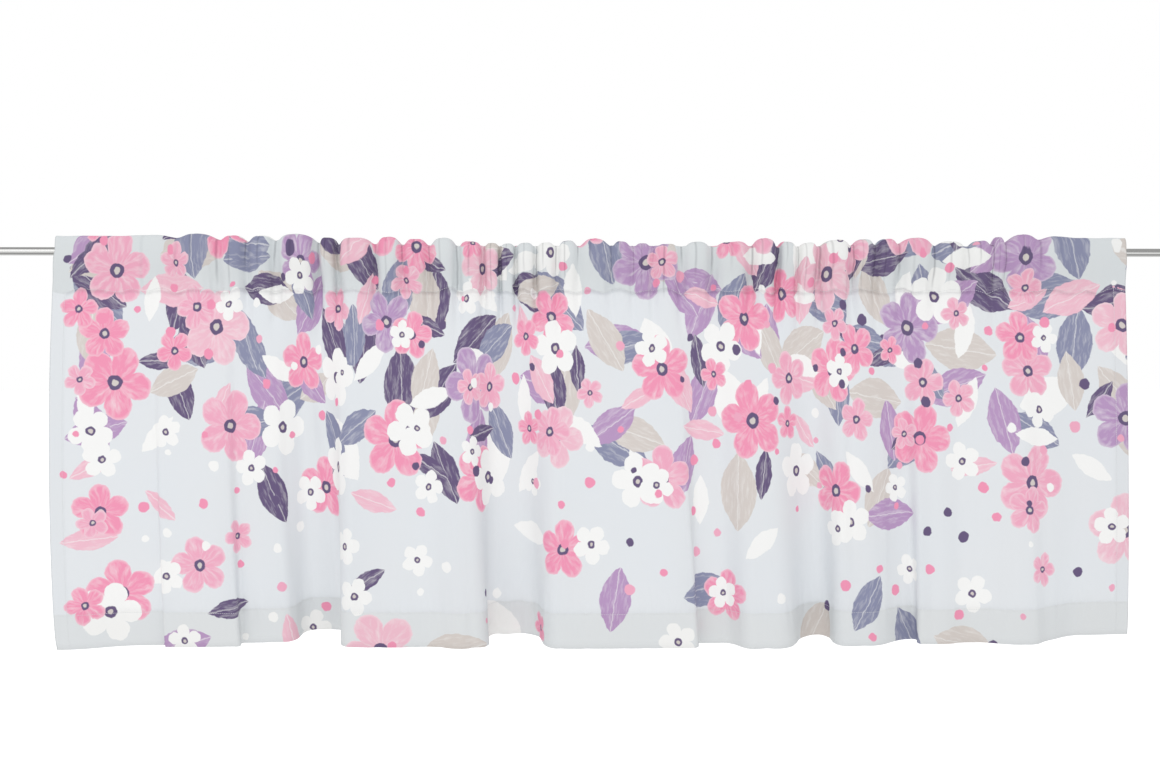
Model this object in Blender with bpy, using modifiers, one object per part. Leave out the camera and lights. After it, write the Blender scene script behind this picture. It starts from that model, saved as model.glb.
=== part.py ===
"""Window valance: one lightly gathered piece of cloth, its rod pocket threaded on a slim curtain rod.

Metres. X runs along the rod to the viewer's right, -Y faces the room and +Z is up.
The origin is the middle of the rod's left end face.
"""

import math

import bmesh
import bpy
import numpy as np

# Rod
ROD_LENGTH = 1.80
ROD_DIAMETER = 0.012
ROD_SIDES = 32
ROD_EDGE_BEVEL = 0.0008
ROD_EDGE_ANGLE = math.radians(60)
ROD_COLOUR = (0.62, 0.61, 0.60, 1.0)

# Cloth
CLOTH_MIDDLE = 0.90
CLOTH_THICKNESS = 0.0012
HEM_THICKNESS = 0.0024
CLOTH_COLOUR = (0.75, 0.77, 0.80, 1.0)
HUNG_LEFT = -0.776
HUNG_RIGHT = 0.776
SIDE_BULGE_LEFT = 0.012
SIDE_BULGE_RIGHT = 0.005
POCKET_SHARE = 0.126
SIDE_HEM = 0.020
BOTTOM_HEM = 0.050
HEM_STEP = 0.002

# The sides bow out between the rod and the hem; powers of how full the bow is and how near the side it stays
BULGE_FULLNESS = 0.6
BULGE_FALL = 6

# Rod pocket: the cloth goes up behind the rod, over it, and down in front to a line of stitches
SEAM_HEIGHT = -0.054
ROD_CLEARANCE = 0.0012
FRONT_LENGTH = 0.518
POCKET_SIDE_ROWS = 2
POCKET_TOP_ROWS = 5

# Folds at the bottom hem, left to right, a row for each ridge or valley.
# Columns: place across the valance from its middle, place behind (+) or in front (-) of the rod's axis.
FOLDS = (
    (-0.770, -0.014),
    (-0.661, 0.010),
    (-0.624, 0.011),
    (-0.619, 0.000),
    (-0.519, 0.000),
    (-0.512, 0.021),
    (-0.456, 0.023),
    (-0.419, 0.070),
    (-0.386, 0.075),
    (-0.351, -0.005),
    (-0.287, -0.007),
    (-0.242, -0.004),
    (-0.191, -0.019),
    (-0.172, -0.015),
    (-0.140, 0.056),
    (-0.106, 0.056),
    (-0.047, -0.020),
    (0.143, -0.020),
    (0.155, 0.008),
    (0.187, 0.009),
    (0.231, -0.027),
    (0.260, -0.027),
    (0.334, 0.044),
    (0.367, -0.012),
    (0.396, -0.012),
    (0.471, 0.023),
    (0.479, -0.002),
    (0.520, 0.000),
    (0.563, 0.005),
    (0.619, -0.010),
    (0.734, 0.038),
    (0.802, 0.041),
)

# How far the fold pattern is evened out along the cloth for the shape that the seam follows
FOLD_SPREAD = 0.075

# Gathers on the rod, left to right, a row for each stretch of the pocket.
# Columns: right end of the stretch from the valance's middle; number of creases in it; depth of the creases,
# as a share of what the slack cloth gives; height of the pocket's top above the rod's axis.
GATHERS = (
    (-0.606, 2, 0.00, 0.022),
    (-0.544, 1, 0.50, 0.022),
    (-0.463, 2, 0.60, 0.018),
    (-0.400, 1, 0.55, 0.021),
    (-0.372, 1, 0.80, 0.015),
    (-0.317, 1, 0.62, 0.015),
    (-0.278, 1, 0.90, 0.016),
    (-0.241, 1, 0.80, 0.013),
    (-0.200, 1, 0.75, 0.015),
    (-0.163, 1, 0.65, 0.010),
    (-0.114, 2, 0.90, 0.006),
    (-0.021, 3, 0.80, 0.008),
    (0.025, 1, 0.70, 0.015),
    (0.083, 2, 0.70, 0.009),
    (0.125, 1, 0.80, 0.006),
    (0.170, 1, 0.70, 0.010),
    (0.226, 1, 0.65, 0.010),
    (0.266, 1, 0.80, 0.015),
    (0.326, 2, 0.70, 0.008),
    (0.376, 1, 0.65, 0.013),
    (0.444, 2, 0.65, 0.015),
    (0.497, 1, 0.65, 0.017),
    (0.544, 1, 0.70, 0.011),
    (0.582, 1, 0.90, 0.011),
    (0.601, 1, 0.85, 0.017),
    (0.652, 1, 0.70, 0.022),
    (0.776, 2, 0.00, 0.021),
)
# 0 is an even wave; a higher value makes the hollows of the gathers narrower than their ridges
CREASE_SHARPNESS = 0.80
# Slack cloth makes creases this steep before they count as full gathers
FULL_GATHER_ANGLE = 0.3
# Rise and dip of the pocket's top at each gather, and the lowest that it may come
LOBE_HEIGHT = 0.0060
LEAST_TOP_HEIGHT = 0.0088
# Power of the pocket's rounding over the rod: 1 is a plain ellipse and less is fuller
TOP_ROUNDNESS = 0.6
# The pocket stays wide enough for the deepest gather within this distance
GATHER_REACH = 0.030
# The gathers fade out over this length below the seam
PUCKER_FADE_LENGTH = 0.090
COLUMNS_A_CREASE = 4

# Rows down the front below the seam, as shares of its length.
# Down to FIRST_WIDE_ROW they keep the columns of the gathers.
FRONT_ROWS = (0.05, 0.12, 0.21, 0.33, 0.46, 0.60, 0.74, 0.86)
FIRST_WIDE_ROW = 0.20
# A column of the front is at most this wide, and turns at most this far within a fold
WIDEST_COLUMN = 0.030
STEEPEST_COLUMN = 0.42
# A column this close to a side hem's edge gives way to it
LEAST_COLUMN = 0.006

# Steps in which lengths along the cloth are added up, and the steepest that a half fold or a gather can be
FINE_STEP = 0.001
STEEPEST_FOLD = 2.2
STEEPEST_GATHER = 1.4
ANGLE_STEP = 0.01
WAVE_STEPS = 200


def clear_scene():
    for found in list(bpy.data.objects):
        bpy.data.objects.remove(found, do_unlink=True)


def plain_material(name, colour, roughness, metallic):
    made = bpy.data.materials.new(name)
    made.use_nodes = True
    shader = made.node_tree.nodes["Principled BSDF"]
    shader.inputs["Base Color"].default_value = colour
    shader.inputs["Roughness"].default_value = roughness
    shader.inputs["Metallic"].default_value = metallic
    return made


def half_wave_table():
    """Steepest angles of a half fold, and the shares of its cloth that go across and back."""
    angles = np.arange(0.0, STEEPEST_FOLD + ANGLE_STEP, ANGLE_STEP)
    places = (np.arange(WAVE_STEPS) + 0.5) / WAVE_STEPS
    slopes = angles[:, None] * np.sin(math.pi * places)[None, :]
    return angles, np.cos(slopes).mean(axis=1), np.sin(slopes).mean(axis=1)


def gather_wave(phase):
    """Slope of the gathers at this phase, from -1 to 1."""
    return np.sin(phase + CREASE_SHARPNESS * np.sin(phase))


def gather_table():
    """Steepest angles of the gathers, with the share of their cloth that goes across."""
    angles = np.arange(0.0, STEEPEST_GATHER + ANGLE_STEP, ANGLE_STEP)
    phases = np.arange(WAVE_STEPS) * 2 * math.pi / WAVE_STEPS
    return angles, np.cos(angles[:, None] * gather_wave(phases)[None, :]).mean(axis=1)


def hem_cloth():
    """For each half fold at the hem, the cloth it uses and its steepest angle, signed towards the back."""
    angles, across_share, back_share = half_wave_table()
    halves = []
    for (x_0, y_0), (x_1, y_1) in zip(FOLDS, FOLDS[1:]):
        across = x_1 - x_0
        back = y_1 - y_0
        angle = float(np.interp(abs(back) / across, back_share / across_share, angles))
        used = math.hypot(across, back) / math.hypot(
            np.interp(angle, angles, across_share), np.interp(angle, angles, back_share)
        )
        halves.append((used, math.copysign(angle, back)))
    return halves


def spread_out(values, spread):
    """The values blurred along the cloth, with the ends held."""
    reach = int(3 * spread / FINE_STEP)
    weights = np.exp(-0.5 * (np.arange(-reach, reach + 1) * FINE_STEP / spread) ** 2)
    padded = np.concatenate([
        2 * values[0] - values[reach:0:-1],
        values,
        2 * values[-1] - values[-2 : -reach - 2 : -1],
    ])
    return np.convolve(padded, weights / weights.sum(), mode="valid")


def summed(slopes):
    """Distance gone along the cloth from its first point, for slopes given at each fine step."""
    return np.concatenate([[0.0], np.cumsum(0.5 * (slopes[1:] + slopes[:-1]))]) * FINE_STEP


class Drape:
    """The cloth's shape: where a point this far along its width and down its drop lies."""

    def __init__(self):
        halves = hem_cloth()
        self.fold_ends = np.concatenate([[0.0], np.cumsum([used for used, _ in halves])])
        self.fold_angles = np.array([angle for _, angle in halves])
        self.width = self.fold_ends[-1]
        self.along = np.arange(int(round(self.width / FINE_STEP)) + 1) * FINE_STEP
        half = np.searchsorted(self.fold_ends, self.along, side="right") - 1
        half = np.clip(half, 0, len(halves) - 1)
        share = (self.along - self.fold_ends[half]) / np.diff(self.fold_ends)[half]
        self.fold_slope = self.fold_angles[half] * np.sin(math.pi * np.clip(share, 0.0, 1.0))
        self.hem_level_x = spread_out(FOLDS[0][0] + summed(np.cos(self.fold_slope)), FOLD_SPREAD)
        self.hem_level_y = spread_out(FOLDS[0][1] + summed(np.sin(self.fold_slope)), FOLD_SPREAD)
        level = self.hem_level_x - self.hem_level_x[0]
        self.top_x = HUNG_LEFT + (HUNG_RIGHT - HUNG_LEFT) * level / level[-1]
        self.set_gathers()
        self.front = {}

    def set_gathers(self):
        """The gathers along the rod: their phase and slopes, and the height of the pocket's top there."""
        ends = np.array([HUNG_LEFT] + [end for end, _, _, _ in GATHERS])
        middles = 0.5 * (ends[1:] + ends[:-1])
        creases = np.concatenate([[0.0], np.cumsum([count for _, count, _, _ in GATHERS])])
        self.phase = 2 * math.pi * np.interp(self.top_x, ends, creases)
        strength = np.interp(self.top_x, middles, [depth for _, _, depth, _ in GATHERS])
        self.top_height = np.interp(self.top_x, middles, [height for _, _, _, height in GATHERS])
        # As steep as it takes for the cloth to fit into the width that it has on the rod
        angles, shares = gather_table()
        needed = np.interp(-np.gradient(self.top_x, FINE_STEP), -shares, angles)
        self.pucker_slope = -needed * strength * gather_wave(self.phase)
        self.ridge = 1 - np.cos(0.5 * self.phase) ** 4
        self.gathered = np.clip(strength, 0.0, 1.0) * np.clip(needed / FULL_GATHER_ANGLE, 0.0, 1.0)

    def plan(self, drop):
        """Places across and back of the whole width at this share of the front: 0 is the seam, 1 the hem."""
        fade = max(0.0, 1.0 - drop * FRONT_LENGTH / PUCKER_FADE_LENGTH)
        fade = fade * fade * (3 - 2 * fade)
        slope = drop * self.fold_slope + fade * self.pucker_slope
        x = summed(np.cos(slope))
        y = summed(np.sin(slope))
        level_x = self.top_x + (self.hem_level_x - self.top_x) * drop
        level_y = self.hem_level_y * drop
        return x - spread_out(x, FOLD_SPREAD) + level_x, y - spread_out(y, FOLD_SPREAD) + level_y

    def side_bulge(self, height_share):
        """How far the sides stand out at this share of the whole height, 0 at the top and 1 at the hem."""
        bulge = max(math.sin(math.pi * height_share), 0.0) ** BULGE_FULLNESS
        place = (self.top_x - HUNG_LEFT) / (HUNG_RIGHT - HUNG_LEFT)
        right = SIDE_BULGE_RIGHT * place**BULGE_FALL
        left = SIDE_BULGE_LEFT * (1 - place) ** BULGE_FALL
        return bulge * (right - left)

    def front_row(self, drop):
        """Points of the whole width at this share of the front. Rows are asked for from the top down."""
        x, y = self.plan(drop)
        x = x + self.side_bulge(POCKET_SHARE + (1 - POCKET_SHARE) * drop)
        if not self.front:
            self.front[drop] = (x, y, np.full_like(x, SEAM_HEIGHT))
        if drop not in self.front:
            # Each thread down the cloth keeps its length, so it hangs less low where it leans
            above = max(self.front)
            x_above, y_above, z_above = self.front[above]
            length = (drop - above) * FRONT_LENGTH
            lean = np.hypot(x - x_above, y - y_above)
            lean = np.minimum(lean, 0.5 * length)
            self.front[drop] = (x, y, z_above - np.sqrt(length**2 - lean**2))
        return self.front[drop]

    def pocket_row(self, turn):
        """Points of the whole width at this turn: 0 is the seam behind, 2 the top, 4 the seam in front.

        From 1 to 3 the cloth bends over the rod. Outside that it runs straight from the rod to the seam."""
        x, y = self.plan(0.0)
        x = x + self.side_bulge(POCKET_SHARE * max(0.0, 1 - min(turn, 4 - turn)))
        # Room for the rod behind the deepest gather nearby
        reach = int(GATHER_REACH / FINE_STEP)
        padded = np.pad(np.abs(y), reach, mode="edge")
        deepest = np.max([padded[start : start + len(y)] for start in range(2 * reach + 1)], axis=0)
        half_gap = 0.5 * (ROD_DIAMETER + HEM_THICKNESS) + ROD_CLEARANCE
        half_gap = half_gap + spread_out(deepest, GATHER_REACH / 3)
        if 1 <= turn <= 3:
            angle = (turn - 2) * math.pi / 2
            lift = max(math.cos(angle), 0.0) ** TOP_ROUNDNESS
            out = math.copysign(abs(math.sin(angle)) ** TOP_ROUNDNESS, angle)
            lobe = LOBE_HEIGHT * (2 * self.ridge - 1) * self.gathered
            z = np.maximum(self.top_height + lobe * lift, LEAST_TOP_HEIGHT) * lift
            return x, y - half_gap * out, z
        level = min(turn, 4 - turn)
        z = np.full_like(x, SEAM_HEIGHT * (1 - level))
        side = -1.0 if turn > 2 else 1.0
        return x, y + side * half_gap * (0.5 - 0.5 * math.cos(math.pi * level)), z


def gather_columns(drape):
    """Places along the cloth's width for the pocket: even phases of each crease, and the side hems."""
    whole = int(round(drape.phase[-1] / (2 * math.pi)))
    phases = np.arange(whole * COLUMNS_A_CREASE + 1) * 2 * math.pi / COLUMNS_A_CREASE
    places = np.interp(phases, drape.phase, drape.along)
    return with_side_hems(places, drape.width)


def fold_columns(drape):
    """Places along the cloth's width for the front: more of them where a fold is steep or long."""
    places = [0.0]
    for start, end, angle in zip(drape.fold_ends, drape.fold_ends[1:], drape.fold_angles):
        parts = max(1, math.ceil((end - start) / WIDEST_COLUMN), math.ceil(abs(angle) / STEEPEST_COLUMN))
        places.extend(start + (end - start) * (part + 1) / parts for part in range(parts))
    return with_side_hems(np.array(places), drape.width)


def with_side_hems(places, width):
    """The places with the edges of the two side hems put in and any others close to those left out."""
    edges = (SIDE_HEM, SIDE_HEM + HEM_STEP, width - SIDE_HEM - HEM_STEP, width - SIDE_HEM)
    kept = [place for place in places if min(abs(place - edge) for edge in edges) > LEAST_COLUMN]
    return np.array(sorted(kept + list(edges)))


class ClothMesh:
    """The cloth's middle surface, made row by row, with a note of each point where it lies double."""

    def __init__(self, drape):
        self.drape = drape
        self.mesh = bmesh.new()
        self.doubled = []

    def add_row(self, row, places, in_hem=False):
        """Pairs of a place along the width and its new point."""
        made = []
        for place in places:
            x, y, z = (np.interp(place, self.drape.along, values) for values in row)
            made.append((place, self.mesh.verts.new((CLOTH_MIDDLE + x, y, z))))
            from_side = min(place, self.drape.width - place)
            self.doubled.append(in_hem or from_side < SIDE_HEM + 0.5 * HEM_STEP)
        return made

    def join_rows(self, upper, lower):
        """Faces between two rows: four-sided where their columns match, three-sided where they don't."""
        i = 0
        j = 0
        matched = len(upper) == len(lower)
        while i < len(upper) - 1 or j < len(lower) - 1:
            corner_above = upper[i][1]
            corner_below = lower[j][1]
            if matched:
                self.mesh.faces.new((corner_above, corner_below, lower[j + 1][1], upper[i + 1][1]))
                i += 1
                j += 1
            elif j == len(lower) - 1 or (i < len(upper) - 1 and upper[i + 1][0] <= lower[j + 1][0]):
                self.mesh.faces.new((corner_above, corner_below, upper[i + 1][1]))
                i += 1
            else:
                self.mesh.faces.new((corner_above, corner_below, lower[j + 1][1]))
                j += 1

    def finished(self, name):
        data = bpy.data.meshes.new(name)
        self.mesh.to_mesh(data)
        self.mesh.free()
        return data


def build_cloth(collection):
    drape = Drape()
    sheet = ClothMesh(drape)
    gathers = gather_columns(drape)
    folds = fold_columns(drape)
    seam = sheet.add_row(drape.front_row(0.0), gathers)
    # Pocket, from the seam up behind the rod, over it and down to the seam again
    side_turns = [(row + 1) / POCKET_SIDE_ROWS for row in range(POCKET_SIDE_ROWS)]
    top_turns = [1 + 2 * (row + 1) / POCKET_TOP_ROWS for row in range(POCKET_TOP_ROWS)]
    front_turns = [3 + turn for turn in side_turns[:-1]]
    above = seam
    for turn in side_turns + top_turns + front_turns:
        here = sheet.add_row(drape.pocket_row(turn), gathers)
        sheet.join_rows(here, above)
        above = here
    sheet.join_rows(seam, above)
    # Front, from the seam to the bottom hem
    hem_edge = 1 - BOTTOM_HEM / FRONT_LENGTH
    above = seam
    for drop in FRONT_ROWS + (hem_edge - HEM_STEP / FRONT_LENGTH, hem_edge, 1.0):
        places = gathers if drop < FIRST_WIDE_ROW else folds
        here = sheet.add_row(drape.front_row(drop), places, in_hem=drop >= hem_edge)
        sheet.join_rows(above, here)
        above = here
    cloth = bpy.data.objects.new("valance_cloth", sheet.finished("valance_cloth"))
    collection.objects.link(cloth)
    group = cloth.vertex_groups.new(name="doubled")
    for index, doubled in enumerate(sheet.doubled):
        group.add([index], 1.0 if doubled else CLOTH_THICKNESS / HEM_THICKNESS, "REPLACE")
    thicken = cloth.modifiers.new("thickness", "SOLIDIFY")
    thicken.solidify_mode = "NON_MANIFOLD"
    thicken.nonmanifold_thickness_mode = "EVEN"
    thicken.thickness = HEM_THICKNESS
    thicken.offset = 0.0
    thicken.vertex_group = group.name
    cloth.data.materials.append(plain_material("cloth", CLOTH_COLOUR, 0.9, 0.0))
    return cloth


def build_rod(collection):
    mesh = bmesh.new()
    bmesh.ops.create_cone(
        mesh,
        cap_ends=True,
        segments=ROD_SIDES,
        radius1=0.5 * ROD_DIAMETER,
        radius2=0.5 * ROD_DIAMETER,
        depth=ROD_LENGTH,
    )
    data = bpy.data.meshes.new("curtain_rod")
    mesh.to_mesh(data)
    mesh.free()
    rod = bpy.data.objects.new("curtain_rod", data)
    collection.objects.link(rod)
    rod.rotation_euler = (0.0, math.pi / 2, 0.0)
    rod.location = (0.5 * ROD_LENGTH, 0.0, 0.0)
    for polygon in rod.data.polygons:
        polygon.use_smooth = len(polygon.vertices) == 4
    edge = rod.modifiers.new("edge", "BEVEL")
    edge.width = ROD_EDGE_BEVEL
    edge.segments = 2
    edge.limit_method = "ANGLE"
    edge.angle_limit = ROD_EDGE_ANGLE
    rod.data.materials.append(plain_material("rod", ROD_COLOUR, 0.3, 1.0))
    return rod


clear_scene()
valance = bpy.data.collections.new("window_valance")
bpy.context.scene.collection.children.link(valance)
build_rod(valance)
build_cloth(valance)
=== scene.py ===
"""Looks of the window valance: a thin printed sheet with turned hems and stitching, on a polished rod."""

import math

import bpy
import numpy as np
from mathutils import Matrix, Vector


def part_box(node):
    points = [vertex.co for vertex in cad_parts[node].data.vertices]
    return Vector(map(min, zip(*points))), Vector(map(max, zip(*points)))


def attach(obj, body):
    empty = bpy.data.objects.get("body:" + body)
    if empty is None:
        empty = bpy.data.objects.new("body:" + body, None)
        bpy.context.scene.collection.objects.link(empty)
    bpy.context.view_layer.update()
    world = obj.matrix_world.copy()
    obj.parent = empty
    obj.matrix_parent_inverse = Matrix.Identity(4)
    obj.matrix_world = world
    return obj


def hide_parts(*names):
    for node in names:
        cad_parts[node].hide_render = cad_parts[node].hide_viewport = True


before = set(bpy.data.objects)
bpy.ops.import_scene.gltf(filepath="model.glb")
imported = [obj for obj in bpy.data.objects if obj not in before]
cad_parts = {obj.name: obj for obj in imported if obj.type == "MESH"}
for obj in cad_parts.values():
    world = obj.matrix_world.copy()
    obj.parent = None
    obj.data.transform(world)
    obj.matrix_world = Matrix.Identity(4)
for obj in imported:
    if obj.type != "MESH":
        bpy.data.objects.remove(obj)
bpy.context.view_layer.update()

# Rod and cloth as hung, in metres; places across are counted from the cloth's middle
ROD_LOW, ROD_HIGH = (np.array(corner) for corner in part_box("curtain_rod"))
ROD_DIAMETER = float(ROD_HIGH[2] - ROD_LOW[2])
CLOTH_MIDDLE = 0.5 * float(ROD_LOW[0] + ROD_HIGH[0])
SOLID_HEM_THICKNESS = 0.0024
HUNG_LEFT = -0.776
HUNG_RIGHT = 0.776
SIDE_BULGE_LEFT = 0.012
SIDE_BULGE_RIGHT = 0.005
SIDE_BULGE_ROUNDNESS = 0.6
SIDE_BULGE_POWER = 6
POCKET_SHARE = 0.126
SIDE_HEM = 0.020
BOTTOM_HEM = 0.050
SEAM_ALLOWANCE = 0.008
SEAM_HEIGHT = -0.054
POCKET_FLAT_HEIGHT = 0.076
ROD_CLEARANCE = 0.0012
FRONT_LENGTH = 0.518
HEM_START = 1 - BOTTOM_HEM / FRONT_LENGTH

# Folds at the bottom hem: place across, and place behind (+) or in front (-) of the rod
FOLDS = (
    (-0.770, -0.014),
    (-0.661, 0.010),
    (-0.624, 0.011),
    (-0.619, 0.000),
    (-0.519, 0.000),
    (-0.512, 0.021),
    (-0.456, 0.023),
    (-0.419, 0.070),
    (-0.386, 0.075),
    (-0.351, -0.005),
    (-0.287, -0.007),
    (-0.242, -0.004),
    (-0.191, -0.019),
    (-0.172, -0.015),
    (-0.140, 0.056),
    (-0.106, 0.056),
    (-0.047, -0.020),
    (0.143, -0.020),
    (0.155, 0.008),
    (0.187, 0.009),
    (0.231, -0.027),
    (0.260, -0.027),
    (0.334, 0.044),
    (0.367, -0.012),
    (0.396, -0.012),
    (0.471, 0.023),
    (0.479, -0.002),
    (0.520, 0.000),
    (0.563, 0.005),
    (0.619, -0.010),
    (0.734, 0.038),
    (0.802, 0.041),
)

# Gathers: right end of the stretch, creases in it, their strength, height of its top above the rod's axis
GATHERS = (
    (-0.606, 2, 0.00, 0.022),
    (-0.544, 1, 0.50, 0.022),
    (-0.463, 2, 0.60, 0.018),
    (-0.400, 1, 0.55, 0.021),
    (-0.372, 1, 0.80, 0.015),
    (-0.317, 1, 0.62, 0.015),
    (-0.278, 1, 0.90, 0.016),
    (-0.241, 1, 0.80, 0.013),
    (-0.200, 1, 0.75, 0.015),
    (-0.163, 1, 0.65, 0.010),
    (-0.114, 2, 0.90, 0.006),
    (-0.021, 3, 0.80, 0.008),
    (0.025, 1, 0.70, 0.015),
    (0.083, 2, 0.70, 0.009),
    (0.125, 1, 0.80, 0.006),
    (0.170, 1, 0.70, 0.010),
    (0.226, 1, 0.65, 0.010),
    (0.266, 1, 0.80, 0.015),
    (0.326, 2, 0.70, 0.008),
    (0.376, 1, 0.65, 0.013),
    (0.444, 2, 0.65, 0.015),
    (0.497, 1, 0.65, 0.017),
    (0.544, 1, 0.70, 0.011),
    (0.582, 1, 0.90, 0.011),
    (0.601, 1, 0.85, 0.017),
    (0.652, 1, 0.70, 0.022),
    (0.776, 2, 0.00, 0.021),
)

# How the gathers are drawn up, and how the folds spread upwards; angles in radians
CREASE_SHARPNESS = 0.80
LOBE_HEIGHT = 0.0060
LEAST_TOP_HEIGHT = 0.0088
TOP_ROUNDNESS = 0.6
GATHER_REACH = 0.030
PUCKER_FADE_LENGTH = 0.090
FOLD_SPREAD = 0.075
FINE_STEP = 0.001
MOST_SIDEWAYS = 0.5
STEEPEST_FOLD = 2.2
FOLD_ANGLES = 221
FOLD_SAMPLES = 200
STEEPEST_GATHER = 1.4
GATHER_ANGLES = 71
GATHER_SAMPLES = 180
FULLY_GATHERED = 0.3

# Fine surface of the sheet; each layer's place is counted back from the middle of the solid cloth
COLUMNS = 1080
SIDE_HEM_COLUMNS = 6
RIPPLE_PITCHES = (1.0, 1.37, 0.71)
SHEET_IN_FRONT = 0.0004
SIDE_HEM_BEHIND = 0.0005
TURNED_SIDE_BEHIND = 0.0010
BOTTOM_HEM_BEHIND = 0.0015
SEAM_WAVE = 0.010
FOLD_DEPTH = 0.0007
SEAM_PITCH = 0.014
SEAM_PUCKER = 0.0009
SEAM_REACH = 0.012
SEAM_SWAY = 0.0050
SEAM_SWAY_PITCH = 0.060
SEAM_SWAY_START = 2.0
SEAM_SWAY_REACH = 0.030
CREASES_IN_GATHER = ((0.0, 1.0), (0.42, 0.6))
CREASE_DEPTH = 0.0014
CREASE_HALF_WIDTH = 0.0024
CREASE_END = 0.030
CREASE_UNEVENNESS = 0.25
CREASE_CHANGE = 5.0
HEM_PITCH = 0.021
HEM_PUCKER = 0.0007
HEM_REACH = 0.016
STITCH_DIP = 0.0004
STITCH_DIP_REACH = 0.0025

# Rows of the sheet as first, last and count: turns round the pocket, 0 at the seam behind and 4 at the seam
# in front, and shares of the front's length. The levels say how far below the front's seam turns 0 to 4 lie
# on the flat cloth, in heights of the pocket.
POCKET_TURNS = ((0.0, 0.90, 7), (1.0, 3.0, 21), (3.08, 3.96, 9))
POCKET_LEVELS = (-2.0, -1.27, -1.0, -0.73, 0.0)
FRONT_DROPS = ((0.0, 0.18, 14), (0.21, HEM_START - 0.01, 26), (HEM_START, 1.0, 6))

# Soft creases: place across the flat cloth, top and bottom below the seam, slant, height (+ to the room) and
# half width
CREASES = (
    (0.372, 0.060, 0.500, 0.00, -0.0016, 0.010),
    (0.430, 0.020, 0.420, 0.02, 0.0014, 0.009),
    (0.508, 0.100, 0.500, -0.01, 0.0012, 0.008),
    (1.165, 0.040, 0.470, 0.01, -0.0010, 0.008),
    (1.500, 0.060, 0.440, 0.00, -0.0018, 0.009),
    (1.560, 0.120, 0.500, -0.02, 0.0010, 0.008),
    (1.668, 0.020, 0.900, 0.00, 0.0028, 0.014),
    (1.698, 0.020, 0.900, 0.00, -0.0022, 0.014),
    (1.802, 0.010, 0.900, 0.00, 0.0030, 0.014),
    (1.832, 0.010, 0.900, 0.00, -0.0024, 0.016),
)

# Thread; a stitch's rings are given as share of its length and share of the thread's thickness
THREAD_DIAMETER = 0.0005
THREAD_SIDES = 5
THREAD_LIFT = 0.0001
STITCH_PITCH = 0.0032
STITCH_LENGTH = 0.0026
STITCH_RINGS = ((0.0, 0.25), (0.25, 1.0), (0.75, 1.0), (1.0, 0.25))
STITCH_FROM_EDGE = 0.002

# Camera, from where the photo was taken
PHOTO_WIDTH = 1160
FOCAL_PIXELS = 1134.0
HORIZON_ABOVE_MIDDLE = 47.0
CAMERA_DISTANCE = 1.65
CAMERA_HEIGHT = -0.128
CAMERA_TURN = math.radians(1.0)
CLOTH_RIGHT_OF_CAMERA = 0.0215
SENSOR_WIDTH = 36.0
FARTHEST_SEEN = 100.0

# Colours, linear
GROUND = (0.728, 0.757, 0.787, 1.0)
WARM_GROUND = (0.744, 0.751, 0.757, 1.0)
# Painted shade where the cloth lies double: the pocket round the rod, and the bottom hem
POCKET_PAINTED_SHADE = (0.905, 0.918, 0.905, 1.0)
HEM_PAINTED_SHADE = (0.955, 0.952, 0.935, 1.0)
PINK = (0.840, 0.305, 0.455, 1.0)
MID_PINK = (0.820, 0.395, 0.525, 1.0)
PALE_PINK = (0.820, 0.495, 0.590, 1.0)
LILAC = (0.462, 0.305, 0.515, 1.0)
SLATE = (0.258, 0.272, 0.395, 1.0)
PURPLE = (0.140, 0.104, 0.205, 1.0)
GREIGE = (0.640, 0.590, 0.560, 1.0)
WHITE = (0.870, 0.870, 0.862, 1.0)
# Painted shade along the thin creases of the pocket
CREASE_PAINTED_SHADE = (0.43, 0.43, 0.45, 1.0)
THREAD_COLOUR = (0.700, 0.710, 0.720, 1.0)
STEEL = (0.72, 0.72, 0.71, 1.0)
FLOOR_COLOUR = (0.95, 0.95, 0.95, 1.0)
PURE_WHITE = (1.0, 1.0, 1.0, 1.0)

# Print, in metres on the flat cloth. Each layer, lowest first: cell of its repeat, number of its random
# draws, wander in the cell, two heights above the hem with the shares printed there, half length and half
# width or radius, colours. Ramps are given as their two ends and the shares there.
LEAVES = (
    ((0.148, 0.144), 1, 0.016, (0.16, 0.34, 0.14, 1.0), (0.060, 0.033), (GREIGE, SLATE, GREIGE, WHITE)),
    ((0.140, 0.148), 2, 0.014, (0.18, 0.36, 0.12, 1.0), (0.058, 0.029), (SLATE, LILAC, PURPLE, SLATE)),
    ((0.126, 0.124), 7, 0.012, (0.14, 0.32, 0.10, 1.0), (0.052, 0.025), (LILAC, PURPLE, SLATE, GREIGE)),
    ((0.122, 0.128), 9, 0.012, (0.15, 0.33, 0.08, 0.90), (0.050, 0.024), (SLATE, PALE_PINK, GREIGE, LILAC)),
    ((0.104, 0.102), 3, 0.014, (0.08, 0.24, 0.22, 0.80), (0.040, 0.015), (PURPLE, WHITE, PALE_PINK, WHITE)),
)
BLOSSOMS = (
    ((0.172, 0.158), 4, 0.034, (0.06, 0.20, 0.20, 1.0), 0.058, (PINK, MID_PINK, PALE_PINK, PINK, LILAC)),
    ((0.144, 0.126), 8, 0.030, (0.05, 0.20, 0.18, 0.65), 0.044, (MID_PINK, PINK, WHITE)),
    ((0.118, 0.108), 5, 0.040, (0.02, 0.14, 0.35, 0.60), 0.029, (WHITE, MID_PINK, WHITE, PINK)),
)
BERRIES = (
    ((0.052, 0.058), 6, 0.026, (0.03, 0.20, 0.22, 0.45), 0.0085, (PINK, WHITE, MID_PINK, PURPLE, PINK)),
)
OTHER_DRAWS = 50
PRINT_EDGE = 0.0006
EDGE_PITCH = 90.0
EDGE_WANDER = 0.006
EDGE_SHIFT = (3.1, 7.7, 0.0)
STROKE_PITCH = 45.0
STROKE_STRETCH = 5.0
STROKE_SHIFT = 90.0
STROKE_ROUGHNESS = 0.6
LEAF_LEAST_SIZE = 0.80
LEAF_MORE_SIZE = 0.25
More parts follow.
